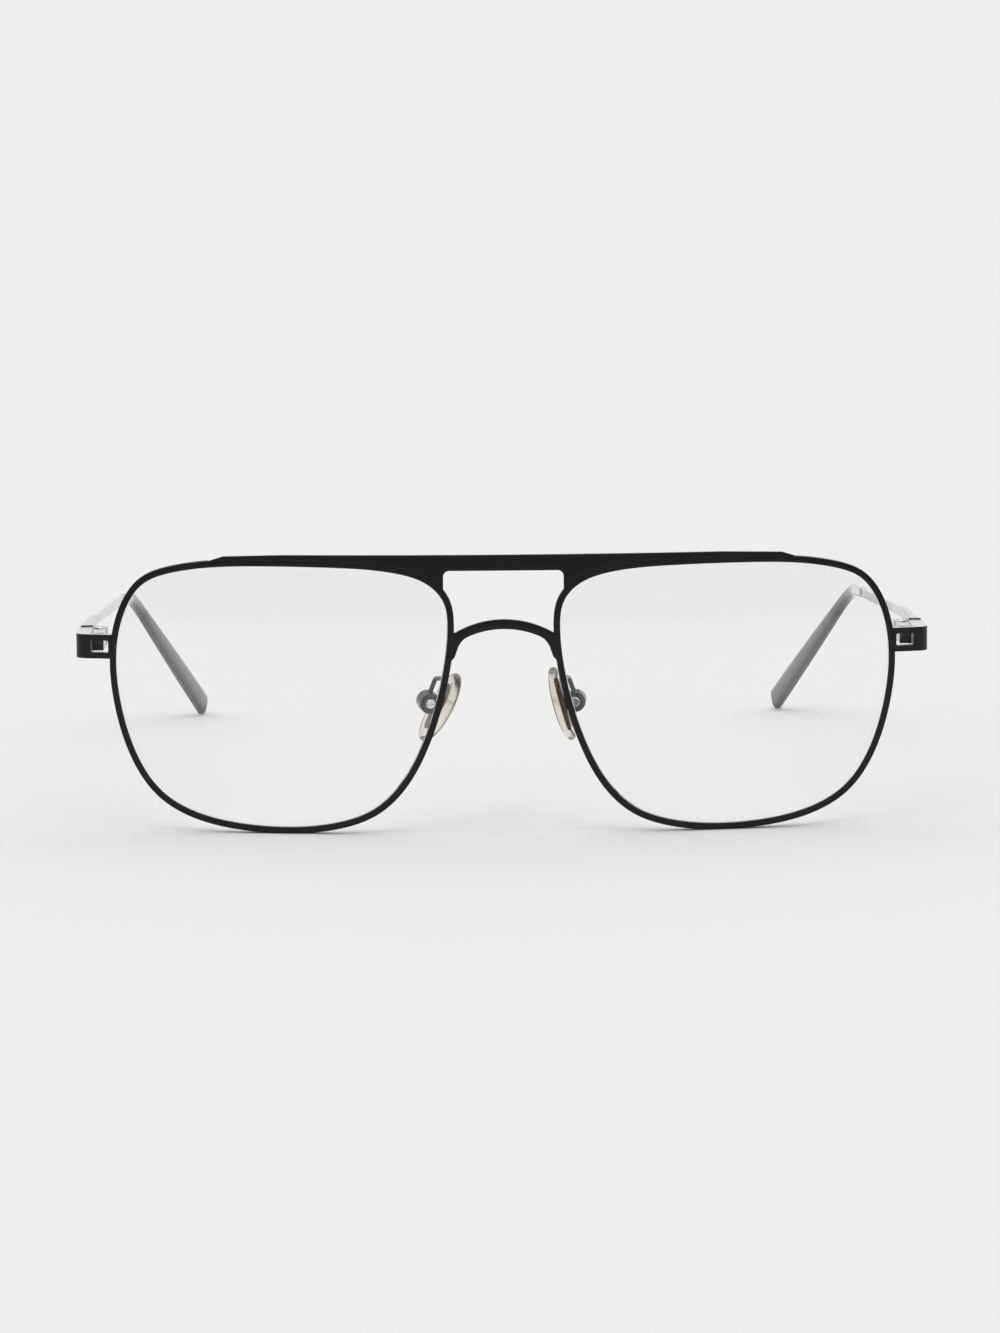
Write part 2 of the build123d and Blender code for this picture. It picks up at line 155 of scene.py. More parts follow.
def mix_over(shader, share, other):
    """Mixes another shader over a material's own by a share."""
    surface = shader.outputs["BSDF"].links[0].to_socket
    tree = shader.id_data
    both = wired(tree, "ShaderNodeMixShader", {"Fac": share, 1: shader.outputs["BSDF"], 2: other})
    tree.links.new(both.outputs["Shader"], surface)


tent_light = tent_group()
table_paint, shader = new_material("table_paint")
tree = table_paint.node_tree
spot = wired(tree, "ShaderNodeTexCoord", {}).outputs["Object"]
grain = wired(tree, "ShaderNodeTexNoise", {"Vector": spot, "Scale": table_grain_scale})
feed(shader, {
    "Base Color": mixed_tone(grain.outputs["Fac"], table_tone, table_pale_tone),
    "Roughness": 0.9, "Specular IOR Level": 0.1,
})
reach = wired(tree, "ShaderNodeVectorMath", {0: spot}, operation="LENGTH")
outwards = wired(tree, "ShaderNodeVectorMath", {0: spot}, operation="NORMALIZE")
far_light = wired(tree, "ShaderNodeGroup", {
    "Direction": outwards.outputs["Vector"],
}, node_tree=tent_light)
glow = wired(tree, "ShaderNodeEmission", {"Color": far_light.outputs["Light"]})
mix_over(shader, smooth_step(reach.outputs["Value"], fade_start, fade_end), glow.outputs["Emission"])

table_mesh = bpy.data.meshes.new("table")
corners = [(x * table_half, y * table_half, 0) for x, y in ((-1, -1), (1, -1), (1, 1), (-1, 1))]
table_mesh.from_pydata(corners, [], [(0, 1, 2, 3)])
table_mesh.materials.append(table_paint)
table = new_object("table", table_mesh)
table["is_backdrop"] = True

tent = bpy.data.worlds.new("tent")
bpy.context.scene.world = tent
tent.use_nodes = True
tree = tent.node_tree
tree.nodes.clear()
way_out = wired(tree, "ShaderNodeTexCoord", {})
all_round = wired(tree, "ShaderNodeGroup", {
    "Direction": way_out.outputs["Generated"],
}, node_tree=tent_light)
backdrop = wired(tree, "ShaderNodeBackground", {"Color": all_round.outputs["Light"]})
wired(tree, "ShaderNodeOutputWorld", {"Surface": backdrop.outputs["Background"]})

lamp_data = bpy.data.lights.new("lamp", "SUN")
lamp_data.energy = lamp_strength
lamp_data.angle = lamp_spread
lamp = new_object("lamp", lamp_data)
lamp.rotation_euler = Euler(lamp_turn)

bpy.context.scene.view_settings.view_transform = "Standard"

# Camera
# The photographer's place: a long lens, a hand's breadth above the glasses and nearly square on,
# looking down by seven degrees.

camera_yaw = math.radians(-1.0457)
camera_pitch = math.radians(7.0225)
camera_roll = math.radians(-0.3945)
camera_range = 0.700
camera_aim = Vector((-0.6906 * mm, -79.4105 * mm, 28.6113 * mm))
camera_lens = 112.748
camera_near = 0.01
camera_far = 100

looking = Vector((
    -math.sin(camera_yaw) * math.cos(camera_pitch),
    math.cos(camera_yaw) * math.cos(camera_pitch),
    -math.sin(camera_pitch),
))
level = Vector((math.cos(camera_yaw), math.sin(camera_yaw), 0))
upright = level.cross(looking)
across = math.cos(camera_roll) * level + math.sin(camera_roll) * upright
above = -math.sin(camera_roll) * level + math.cos(camera_roll) * upright
camera_data = bpy.data.cameras.new("camera")
camera_data.lens = camera_lens
camera_data.clip_start = camera_near
camera_data.clip_end = camera_far
camera = new_object("camera", camera_data)
camera_turn = Matrix((across, above, -looking)).transposed().to_4x4()
camera.matrix_world = Matrix.Translation(camera_aim - looking * camera_range) @ camera_turn
bpy.context.scene.camera = camera

# Eyewires
# A grooved nickel wire is bent round each lens and lacquered matt black. It follows the sphere of
# the lens, and is open by a hair's breadth behind the end piece, where two blocks close it.

sides = (("left", 1), ("right", -1))
front_y = -79.4105 * mm
lift = 0.0126 * mm
lens_gap = 18.0 * mm
lens_width = 57.0 * mm
lens_height = 45.2 * mm
groove_depth = 0.45 * mm
groove_width = 0.8 * mm
rim_width = 1.1 * mm
rim_depth = 1.8 * mm
rim_edge_round = 0.08 * mm
rim_corner_points = 5
split_gap = 0.12 * mm
split_z = 31.5 * mm
sphere_radius = 265.0 * mm
opening_width = lens_width - 2 * groove_depth
opening_height = lens_height - 2 * groove_depth
opening_nasal = lens_gap / 2 + groove_depth
opening_bottom = rim_width
sphere_z = opening_bottom + opening_height / 2
loop_count = 360
# Shares of the opening's width and height, from its top down the nasal side and round.
opening_shares = [
    (0.335, 0.995), (0.155, 0.974), (0.052, 0.925), (0.012, 0.866), (0.000, 0.775), (0.014, 0.600),
    (0.081, 0.312), (0.153, 0.154), (0.228, 0.069), (0.335, 0.019), (0.510, 0.000), (0.640, 0.014),
    (0.757, 0.050), (0.865, 0.130), (0.938, 0.263), (0.984, 0.443), (1.000, 0.647), (0.970, 0.830),
    (0.915, 0.928), (0.830, 0.972), (0.690, 0.996), (0.545, 1.000),
]
# Painted reflection: the pale tone laid into a lacquer's colour at grazing angles, and where it starts.
painted_reflection_tone = (0.70, 0.70, 0.705, 1.0)
painted_reflection_start = 0.78
painted_reflection_end = 0.92


def smooth_loop(points, count):
    """Points and outward normals along the smooth closed curve through some points."""
    points = np.array(points, float)
    chords = np.linalg.norm(np.roll(points, -1, 0) - points, axis=1)
    total = len(points)
    matrix = np.zeros((total, total))
    right = np.zeros((total, 2))
    for i in range(total):
        before, after = chords[i - 1], chords[i]
        matrix[i, i - 1] += after
        matrix[i, i] += 2 * (before + after)
        matrix[i, (i + 1) % total] += before
        slope_before = (points[i] - points[i - 1]) / before
        slope_after = (points[(i + 1) % total] - points[i]) / after
        right[i] = 3 * (after * slope_before + before * slope_after)
    slopes = np.linalg.solve(matrix, right)
    starts = np.concatenate([[0], np.cumsum(chords)])
    places, outs = [], []
    for along in np.arange(count) / count * starts[-1]:
        i = min(int(np.searchsorted(starts, along, "right")) - 1, total - 1)
        step, t = chords[i], (along - starts[i]) / chords[i]
        a, b = points[i], points[(i + 1) % total]
        p, q = slopes[i] * step, slopes[(i + 1) % total] * step
        places.append(a * (2 * t**3 - 3 * t**2 + 1) + p * (t**3 - 2 * t**2 + t)
                      + b * (3 * t**2 - 2 * t**3) + q * (t**3 - t**2))
        going = (a * (6 * t**2 - 6 * t) + p * (3 * t**2 - 4 * t + 1)
                 + b * (6 * t - 6 * t**2) + q * (3 * t**2 - 2 * t))
        outs.append(np.array([going[1], -going[0]]) / np.linalg.norm(going))
    return np.array(places), np.array(outs)


def arc_points(centre_x, centre_z, radius, first, last, count):
    """Points along an arc between two angles in degrees."""
    angles = [math.radians(first + (last - first) * i / (count - 1)) for i in range(count)]
    return [(centre_x + radius * math.cos(a), centre_z + radius * math.sin(a)) for a in angles]


def poly_curve(name, points, closed):
    """A curve of straight runs through points, for a geometry tree to read."""
    data = bpy.data.curves.new(name, "CURVE")
    data.dimensions = "3D"
    spline = data.splines.new("POLY")
    spline.points.add(len(points) - 1)
    for target, point in zip(spline.points, points):
        target.co = (*point, 1)
    spline.use_cyclic_u = closed
    return new_object(name, data)


def geometry_tree(name, sockets):
    """An empty geometry tree with named inputs, and the outputs of its input node."""
    tree = bpy.data.node_groups.new(name, "GeometryNodeTree")
    tree.interface.new_socket("Geometry", in_out="OUTPUT", socket_type="NodeSocketGeometry")
    tree.interface.new_socket("Geometry", in_out="INPUT", socket_type="NodeSocketGeometry")
    for socket, kind in sockets.items():
        tree.interface.new_socket(socket, in_out="INPUT", socket_type="NodeSocket" + kind)
    return tree, tree.nodes.new("NodeGroupInput").outputs


def end_tree(geometry, finish):
    """Ends a geometry tree with its shape as one plain mesh in its finish."""
    tree = geometry.id_data
    real = wired(tree, "GeometryNodeRealizeInstances", {"Geometry": geometry})
    painted = wired(tree, "GeometryNodeSetMaterial", {
        "Geometry": real.outputs["Geometry"], "Material": finish,
    })
    wired(tree, "NodeGroupOutput", {"Geometry": painted.outputs["Geometry"]})


def sums(operation, first, *second):
    """A math node's output, from a socket and, where it takes two, a second socket or number."""
    inputs = dict(enumerate((first, *second)))
    return wired(first.id_data, "ShaderNodeMath", inputs, operation=operation).outputs[0]


def grow(tree, name, values):
    """The plain mesh that a geometry tree makes from these input values."""
    host = new_object(f"{name}_host", bpy.data.meshes.new(f"{name}_host"))
    modifier = host.modifiers.new(tree.name, "NODES")
    modifier.node_group = tree
    for item in tree.interface.items_tree:
        if item.in_out == "INPUT" and item.name in values:
            modifier[item.identifier] = values[item.name]
    host.update_tag()
    bpy.context.view_layer.update()
    graph = bpy.context.evaluated_depsgraph_get()
    mesh = bpy.data.meshes.new_from_object(host.evaluated_get(graph), depsgraph=graph)
    mesh.name = name
    bpy.data.objects.remove(host)
    return mesh


def smooth_by_angle(mesh, degrees):
    """Shades a mesh smooth, but for the edges that are sharper than an angle."""
    mesh.polygons.foreach_set("use_smooth", [True] * len(mesh.polygons))
    mesh.set_sharp_from_angle(angle=math.radians(degrees))


def fit_piece(name, mesh, body, node, sharp):
    """A mesh as a piece in a CAD node's place, smooth but for edges sharper than some degrees."""
    smooth_by_angle(mesh, sharp)
    piece = new_object(name, mesh)
    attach(piece, body)
    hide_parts(node)
    return piece


def grain_group():
    """The fine unevenness of a sprayed, moulded or polished skin, as a mask and as a height."""
    tree = bpy.data.node_groups.new("fine_grain", "ShaderNodeTree")
    for name, value in (("Fine scale", 4000.0), ("Broad scale", 120.0), ("Fine share", 0.5)):
        socket = tree.interface.new_socket(name, in_out="INPUT", socket_type="NodeSocketFloat")
        socket.default_value = value
    for name in ("Mask", "Height"):
        tree.interface.new_socket(name, in_out="OUTPUT", socket_type="NodeSocketFloat")
    given = tree.nodes.new("NodeGroupInput").outputs
    spot = wired(tree, "ShaderNodeTexCoord", {}).outputs["Object"]
    fine, broad = [
        wired(tree, "ShaderNodeTexNoise", {"Vector": spot, "Scale": given[scale], "Detail": detail})
        for scale, detail in (("Fine scale", 3.0), ("Broad scale", 4.0))
    ]
    share = wired(tree, "ShaderNodeMix", {
        "Factor": given["Fine share"], "A": broad.outputs["Fac"], "B": fine.outputs["Fac"],
    })
    wired(tree, "NodeGroupOutput", {"Mask": share.outputs["Result"], "Height": fine.outputs["Fac"]})
    return tree


fine_grain = grain_group()


def grained(name, dark, light, smooth, rough, bump, fine_scale, broad_scale, fine_share=0.5,
            mask_low=0.3, mask_high=0.7, bump_height=0.01 * mm):
    """A material whose tone and roughness wander a little between two values, with a fine bump."""
    material, shader = new_material(name)
    tree = material.node_tree
    grain = wired(tree, "ShaderNodeGroup", {
        "Fine scale": fine_scale, "Broad scale": broad_scale, "Fine share": fine_share,
    }, node_tree=fine_grain)
    ways = wired(tree, "ShaderNodeMapRange", {
        "Value": grain.outputs["Mask"], "From Min": mask_low, "From Max": mask_high,
        "To Min": smooth, "To Max": rough,
    })
    relief = wired(tree, "ShaderNodeBump", {
        "Height": grain.outputs["Height"], "Strength": bump, "Distance": bump_height,
    })
    feed(shader, {
        "Base Color": mixed_tone(grain.outputs["Mask"], (*dark, 1), (*light, 1)),
        "Roughness": ways.outputs["Result"], "Normal": relief.outputs["Normal"],
    })
    return material, shader


def paint_grazing_reflection(shader):
    """Paints a pale reflection of the bright room into a lacquer's colour where one looks along it."""
    full_on = shader.inputs["Base Color"].links[0].from_socket
    aslant = wired(shader.id_data, "ShaderNodeLayerWeight", {"Blend": 0.5})
    share = smooth_step(aslant.outputs["Facing"], painted_reflection_start, painted_reflection_end)
    feed(shader, {"Base Color": mixed_tone(share, full_on, painted_reflection_tone)})


def lacquer(name):
    """The matt black lacquer of the front."""
    material, shader = grained(
        name, (0.0095, 0.0095, 0.0104), (0.0140, 0.0140, 0.0149), smooth=0.12, rough=0.19, bump=0.10,
        fine_scale=9000.0, broad_scale=90.0,
    )
    feed(shader, {"Specular IOR Level": 0.16})
    return material, shader


# The eyewires keep the plain lacquer; the plates, end pieces and blocks get a copy with a painted
# reflection.
wire_lacquer, shader = lacquer("wire_lacquer")
front_lacquer_painted_reflection, shader = lacquer("front_lacquer_painted_reflection")
paint_grazing_reflection(shader)

eyewire_tree, given = geometry_tree("eyewire", {
    "Path": "Object", "Profile": "Object", "Sphere radius": "Float", "Sphere height": "Float",
    "Front": "Float", "Lift": "Float", "Finish": "Material",
})
path_info = wired(eyewire_tree, "GeometryNodeObjectInfo", {"Object": given["Path"]})
profile_info = wired(eyewire_tree, "GeometryNodeObjectInfo", {"Object": given["Profile"]})
wire = wired(eyewire_tree, "GeometryNodeCurveToMesh", {
    "Curve": path_info.outputs["Geometry"], "Profile Curve": profile_info.outputs["Geometry"],
    "Fill Caps": True,
})
place = wired(eyewire_tree, "GeometryNodeInputPosition", {})
apart = wired(eyewire_tree, "ShaderNodeSeparateXYZ", {"Vector": place.outputs["Position"]})
across_square = sums("MULTIPLY", apart.outputs["X"], apart.outputs["X"])
height = sums("SUBTRACT", apart.outputs["Z"], given["Sphere height"])
height_square = sums("MULTIPLY", height, height)
radius_square = sums("MULTIPLY", given["Sphere radius"], given["Sphere radius"])
left_over = sums("SUBTRACT", sums("SUBTRACT", radius_square, across_square), height_square)
depth = sums("SUBTRACT", given["Sphere radius"], sums("SQRT", left_over))
together = wired(eyewire_tree, "ShaderNodeCombineXYZ", {
    "Y": sums("ADD", depth, given["Front"]), "Z": given["Lift"],
})
bent_back = wired(eyewire_tree, "GeometryNodeSetPosition", {
    "Geometry": wire.outputs["Mesh"], "Offset": together.outputs["Vector"],
})
end_tree(bent_back.outputs["Geometry"], given["Finish"])

opening_points = [
    (opening_nasal + x * opening_width, opening_bottom + z * opening_height) for x, z in opening_shares
]
loop_places, loop_outs = smooth_loop(opening_points, loop_count)
half_width, corner = rim_width / 2, rim_edge_round
inner_turn, outer_turn, back_turn = -half_width + corner, half_width - corner, rim_depth - corner
groove_low, groove_high = rim_depth / 2 - groove_width / 2, rim_depth / 2 + groove_width / 2
wire_section = (
    arc_points(outer_turn, corner, corner, -90, 0, rim_corner_points)
    + arc_points(outer_turn, back_turn, corner, 0, 90, rim_corner_points)
    + arc_points(inner_turn, back_turn, corner, 90, 180, rim_corner_points)
    + [(-half_width, groove_high), (-half_width + groove_depth, groove_high)]
    + [(-half_width + groove_depth, groove_low), (-half_width, groove_low)]
    + arc_points(inner_turn, corner, corner, 180, 270, rim_corner_points)
)
section_curve = poly_curve("wire_section", [(x, y, 0) for x, y in wire_section], True)

middle_line = loop_places + loop_outs * (rim_width / 2)
outer_half = opening_nasal + opening_width / 2
first_step = 1 + next(
    i for i in range(loop_count)
    if middle_line[i][0] > outer_half
    and middle_line[i][1] <= split_z < middle_line[(i + 1) % loop_count][1]
)
open_line = [tuple(point) for point in np.roll(middle_line, -first_step, 0)]
above_split = (open_line[0][0], split_z + split_gap / 2)
below_split = (open_line[-1][0], split_z - split_gap / 2)
clear_of_split = [p for p in open_line if abs(p[1] - split_z) > split_gap or p[0] < outer_half]
for side, way in sides:
    run = [(way * x, 0, z) for x, z in [above_split] + clear_of_split + [below_split]]
    path_curve = poly_curve(f"{side}_path", run, False)
    mesh = grow(eyewire_tree, f"{side}_eyewire", {
        "Path": path_curve, "Profile": section_curve, "Sphere radius": sphere_radius,
        "Sphere height": sphere_z, "Front": front_y, "Lift": lift, "Finish": wire_lacquer,
    })
    bpy.data.objects.remove(path_curve)
    fit_piece(f"{side}_eyewire", mesh, "front", f"{side}_rim", sharp=35)
bpy.data.objects.remove(section_curve)

# Lenses
# Clear demo lenses of cast plastic, polished on both faces and bevelled round the edge to sit in
# the eyewire's groove. The violet bloom that a coated lens reflects is painted in as a faint violet
# tint.

lens_thickness = 1.3 * mm
lens_clearance = 0.04 * mm
lens_corner = 0.05 * mm
face_shares = (0.12, 0.3, 0.5, 0.7, 0.85, 0.95, 1.0)
painted_bloom_tone = (0.995, 0.992, 1.0, 1.0)
lens_shadow_tone = (0.96, 0.96, 0.965, 1.0)


def clear_shadow(shader, tone):
    """Lets light through a clear plastic, so that its shadow is only a faint tone."""
    shadow_ray = wired(shader.id_data, "ShaderNodeLightPath", {})
    through = wired(shader.id_data, "ShaderNodeBsdfTransparent", {"Color": tone})
    mix_over(shader, shadow_ray.outputs["Is Shadow Ray"], through.outputs["BSDF"])


def skin(work, rings):
    """The vertices of closed rings of points in a bmesh, each ring joined to the next by faces."""
    rows = [[work.verts.new(point) for point in ring] for ring in rings]
    for row, next_row in zip(rows, rows[1:]):
        for i in range(len(row)):
            j = (i + 1) % len(row)
            work.faces.new((row[i], row[j], next_row[j], next_row[i]))
    return rows


def closed_mesh(work, name, material):
    """The mesh of a closed bmesh, facing outwards, with its material."""
    bmesh.ops.recalc_face_normals(work, faces=work.faces)
    mesh = bpy.data.meshes.new(name)
    work.to_mesh(mesh)
    work.free()
    mesh.materials.append(material)
    return mesh


def ringed_mesh(name, rings, first_pole, last_pole, material):
    """A closed skin through rings of points, each end drawn together at a pole."""
    work = bmesh.new()
    rows = skin(work, rings)
    for row, pole in ((rows[0], first_pole), (rows[-1], last_pole)):
        tip = work.verts.new(pole)
        for i in range(len(row)):
            work.faces.new((row[i], row[(i + 1) % len(row)], tip))
    return closed_mesh(work, name, material)


def on_front(x, z, behind, way):
    """A point of the front, some way behind its sphere, on the wearer's left or right."""
    drop = (sphere_radius - behind) ** 2 - x**2 - (z - sphere_z) ** 2
    return (way * x, front_y + sphere_radius - math.sqrt(drop), z + lift)


lens_clear, shader = new_material("lens_clear")
# Painted reflection: a faint violet tint of the clear plastic stands in for the coating's bloom.
feed(shader, {
    "Base Color": painted_bloom_tone, "Transmission Weight": 1.0, "IOR": 1.5, "Roughness": 0.0,
    "Specular IOR Level": 0.12,
})
clear_shadow(shader, lens_shadow_tone)

lens_edge = -lens_clearance
tongue_edge = groove_depth - lens_clearance
face_low, face_high = rim_depth / 2 - lens_thickness / 2, rim_depth / 2 + lens_thickness / 2
tongue_low, tongue_high = groove_low + lens_clearance, groove_high - lens_clearance
lens_steps = [(share, lens_edge - lens_corner, face_low) for share in face_shares]
lens_steps += [(1.0, distance, behind) for distance, behind in (
    (lens_edge, face_low + lens_corner), (lens_edge, tongue_low),
    (tongue_edge - lens_corner, tongue_low), (tongue_edge, tongue_low + lens_corner),
    (tongue_edge, tongue_high - lens_corner), (tongue_edge - lens_corner, tongue_high),
    (lens_edge, tongue_high), (lens_edge, face_high - lens_corner),
)]
lens_steps += [(share, lens_edge - lens_corner, face_high) for share in reversed(face_shares)]
lens_middle = np.array([opening_nasal + opening_width / 2, sphere_z])
for side, way in sides:
    rings = []
    for share, distance, behind in lens_steps:
        loop = lens_middle + (loop_places[::2] + loop_outs[::2] * distance - lens_middle) * share
        rings.append([on_front(x, z, behind, way) for x, z in loop])
    poles = [on_front(*lens_middle, behind, way) for behind in (face_low, face_high)]
    mesh = ringed_mesh(f"{side}_demo_lens", rings, *poles, lens_clear)
    fit_piece(f"{side}_demo_lens", mesh, "front", f"{side}_lens", sharp=25)

# Brow bar and nose bridge
# Two plates cut from flat nickel strip, pressed to the curve of the front and brazed between the
# eyewires: the straight bar over the brow, and the arched bridge with a leg down each rim.

brow_depth = 1.5 * mm
brow_rise = 0.8 * mm
brow_height = 2.67 * mm
brow_straight_half = 37.0 * mm
brow_shoulder_half = 47.1 * mm
brow_shoulder_drop = 0.28 * mm
brow_end_half = 50.0 * mm
brow_end_drop = 1.2 * mm
brow_window_half = 10.1 * mm
window_corner = 1.0 * mm
gusset_foot = 40.9 * mm
bridge_depth = 1.5 * mm
bridge_crown_drop = 10.8 * mm
bridge_height = 1.65 * mm
arch_radius = 16.2 * mm
under_radius = 15.0 * mm
under_half = 6.0 * mm
bridge_seat_half = 9.25 * mm
# Distance from the middle and drop below the end of the underside's arc, down the inside of a leg.
bridge_leg_places = [
    (6.72 * mm, 0.42 * mm), (7.2 * mm, 0.95 * mm), (7.62 * mm, 1.62 * mm), (7.9 * mm, 2.4 * mm),
    (8.3 * mm, 3.5 * mm), (bridge_seat_half, 4.5 * mm),
]
plate_set_back = 0.02 * mm
plate_edge_round = 0.14 * mm
plate_edge_steps = 5
outline_spacing = 0.4 * mm
net_spacing = 1.2 * mm
net_clearance = 0.35 * mm
net_slack = 1e-9
# The triangulation's kind of output that keeps only the triangles inside the outline.
inside_only = 1
plate_weld = 0.0005 * mm
middle_slack = 0.001 * mm


def half_outline(points):
    """A symmetric outline from its left half, which runs from the middle round to the middle."""
    return points + [(-x, z) for x, z in reversed(points) if abs(x) > middle_slack]


def close_points(points, spacing):
    """The same closed outline with points no further apart than a spacing."""
    whole = []
    for (x, z), (next_x, next_z) in zip(points, points[1:] + points[:1]):
        go_x, go_z = next_x - x, next_z - z
        count = max(1, math.ceil(math.hypot(go_x, go_z) / spacing))
        whole += [Vector((x + go_x * i / count, z + go_z * i / count)) for i in range(count)]
    return whole


def plate_mesh(name, points, near, far, edge_round):
    """A plate of the front: a flat outline bent to the sphere, with its edges rounded."""
    outline = close_points(points, outline_spacing)
    count = len(outline)
    area = sum(p.x * q.y - q.x * p.y for p, q in zip(outline[-1:] + outline[:-1], outline))
    if area < 0:
        outline.reverse()
    outs = []
    for i in range(count):
        going = (outline[(i + 1) % count] - outline[i - 1]).normalized()
        outs.append(Vector((going.y, -going.x)))
    inner = [p - out * edge_round for p, out in zip(outline, outs)]
    columns = np.arange(min(p.x for p in inner), max(p.x for p in inner), net_spacing)
    rows = np.arange(min(p.y for p in inner), max(p.y for p in inner), net_spacing)
    net = [
        Vector((x, z)) for x in columns for z in rows
        if min((Vector((x, z)) - p).length for p in inner) > net_clearance
    ]
    edges = [(i, (i + 1) % count) for i in range(count)]
    flat, _, faces, *_ = delaunay_2d_cdt(inner + net, edges, [], inside_only, net_slack)
    inside = sorted({i for face in faces for i in face})
    work = bmesh.new()
    for behind in (near, far):
        sheet = {i: work.verts.new(on_front(*flat[i], behind, 1)) for i in inside}
        for face in faces:
            work.faces.new([sheet[i] for i in face])
    turns = [math.radians(90 / plate_edge_steps * step) for step in range(plate_edge_steps + 1)]
    steps = [(edge_round * (1 - math.sin(a)), near + edge_round * (1 - math.cos(a))) for a in turns]
    steps += [(edge_round * (1 - math.cos(a)), far - edge_round * (1 - math.sin(a))) for a in turns[1:]]
    skin(work, [
        [on_front(*(p - out * inset), behind, 1) for p, out in zip(outline, outs)]
        for inset, behind in steps
    ])
    bmesh.ops.remove_doubles(work, verts=work.verts, dist=plate_weld)
    return closed_mesh(work, name, front_lacquer_painted_reflection)


brow_top = opening_bottom + opening_height + rim_width + brow_rise
window_top = brow_top - brow_height
gusset_step = next(i for i in range(loop_count) if middle_line[i][1] < gusset_foot)
end_step = next(
    i for i in range(loop_count // 2, loop_count)
    if middle_line[i][1] > sphere_z and middle_line[i][0] < brow_end_half
)
run_steps = range(loop_count + gusset_step, end_step - 1, -1)
wire_run = [tuple(middle_line[i % loop_count]) for i in run_steps]
brow_outline = [(0, window_top)] + arc_points(
    brow_window_half - window_corner, window_top - window_corner, window_corner,
    first=90, last=0, count=7,
)
brow_outline += [(brow_window_half, gusset_foot)] + wire_run + [
    (brow_end_half, brow_top - brow_end_drop), (brow_shoulder_half, brow_top - brow_shoulder_drop),
    (brow_straight_half, brow_top), (0, brow_top),
]

crown = brow_top - bridge_crown_drop
under = crown - bridge_height
arch_end = math.degrees(math.asin(bridge_seat_half / arch_radius))
under_end = math.degrees(math.asin(under_half / under_radius))
under_run = arc_points(0, under - under_radius, under_radius, first=90, last=90 - under_end, count=14)
leg_top = under_run[-1][1]
bridge_outline = under_run + [(x, leg_top - z) for x, z in bridge_leg_places]
bridge_outline += arc_points(
    0, crown - arch_radius, arch_radius, first=90 - arch_end, last=90, count=20,
)

for node, half, far in (
    ("brow_bar", brow_outline, brow_depth), ("nose_bridge", bridge_outline, bridge_depth),
):
    mesh = plate_mesh(f"{node}_plate", half_outline(half), plate_set_back, far, plate_edge_round)
    fit_piece(f"{node}_plate", mesh, "front", node, sharp=50)

# End pieces and closing blocks
# Each end piece is a stamped plate with a square window, bent back beside the head. Behind it two
# little blocks on the eyewire close over the lens when the screw draws them together.

end_piece_round = 0.12 * mm
block_round = 0.06 * mm
copy_weld = 0.0002 * mm
flat_angle = math.radians(0.5)
ease_angle = math.radians(38)
seam_reach = 0.12 * mm
rim_wall = loop_places + loop_outs * rim_width


def beside_eyewire(point):
    """Whether a point lies on the outer wall of an eyewire."""
    flat = np.array([abs(point.x), point.z - lift])
    return np.min(np.linalg.norm(rim_wall - flat, axis=1)) < seam_reach


def eased_copy(name, node, material, width, body, steps=3):
    """A CAD node's own shape, its sharp edges rounded except along a brazed seam, in its place."""
    work = bmesh.new()
    work.from_mesh(nodes[node].data)
    bmesh.ops.remove_doubles(work, verts=work.verts, dist=copy_weld)
    bmesh.ops.dissolve_limit(work, angle_limit=flat_angle, verts=work.verts, edges=work.edges)
    mesh = bpy.data.meshes.new(name)
    work.to_mesh(mesh)
    work.free()
    mesh.materials.clear()
    mesh.materials.append(material)
    piece = fit_piece(name, mesh, body, node, sharp=40)
    work = bmesh.new()
    work.from_mesh(mesh)
    weight = work.edges.layers.float.new("bevel_weight_edge")
    for edge in work.edges:
        sharp = len(edge.link_faces) == 2 and edge.calc_face_angle() > ease_angle
        edge[weight] = float(sharp and not all(beside_eyewire(v.co) for v in edge.verts))
    work.to_mesh(mesh)
    work.free()
    rounding = piece.modifiers.new("eased_edges", "BEVEL")
    rounding.width = width
    rounding.segments = steps
    rounding.limit_method = "WEIGHT"
    rounding.harden_normals = True


for side in ("left", "right"):
    eased_copy(
        f"{side}_end_plate", f"{side}_end_piece", front_lacquer_painted_reflection, end_piece_round,
        "front",
    )
    for level in ("upper", "lower"):
        eased_copy(
            f"{side}_{level}_block", f"{side}_closing_block_{level}", front_lacquer_painted_reflection, block_round,
            "front",
        )

# Hinges
# A three-barrel hinge sits inside the leg of each end piece. Its two outer barrels belong to the
# front and the middle one to the temple; all are milled from nickel silver and blackened.

hinge_round = 0.05 * mm

hinge_black, shader = grained(
    "hinge_black", (0.016, 0.016, 0.018), (0.03, 0.03, 0.033), smooth=0.26, rough=0.36, bump=0.15,
    fine_scale=7000.0, broad_scale=400.0, fine_share=0.6,
)
# Painted reflection: the blackened hinge turns pale in colour where one looks along it.
paint_grazing_reflection(shader)
feed(shader, {"Specular IOR Level": 0.6})
for side in ("left", "right"):
    for name, node, body in (
        ("front_barrels", "front_hinge", "front"), ("temple_barrel", "temple_hinge", f"{side}_temple"),
    ):
        eased_copy(
            f"{side}_{name}", f"{side}_{node}", hinge_black, hinge_round, body, steps=2,
        )

# Screws
# Six turned steel screws with a slot across the head: one through each hinge, one through each
# pair of closing blocks from below, and one through each pad box from the front.

screw_slot_width = 0.2 * mm
screw_slot_depth = 0.18 * mm
screw_sides = 40
shoulder_share = 0.6
crown_share = 0.86
cutter_reach = 4.0
pin_shank_radius = 0.55 * mm
pin_shank_length = 3.0 * mm
pin_head_radius = 0.85 * mm
pin_head_height = 0.35 * mm
pin_slot_turn = math.radians(24)
closing_shank_radius = 0.45 * mm
closing_head_radius = 0.7 * mm
closing_head_height = 0.4 * mm
closing_slot_turn = math.radians(-15)

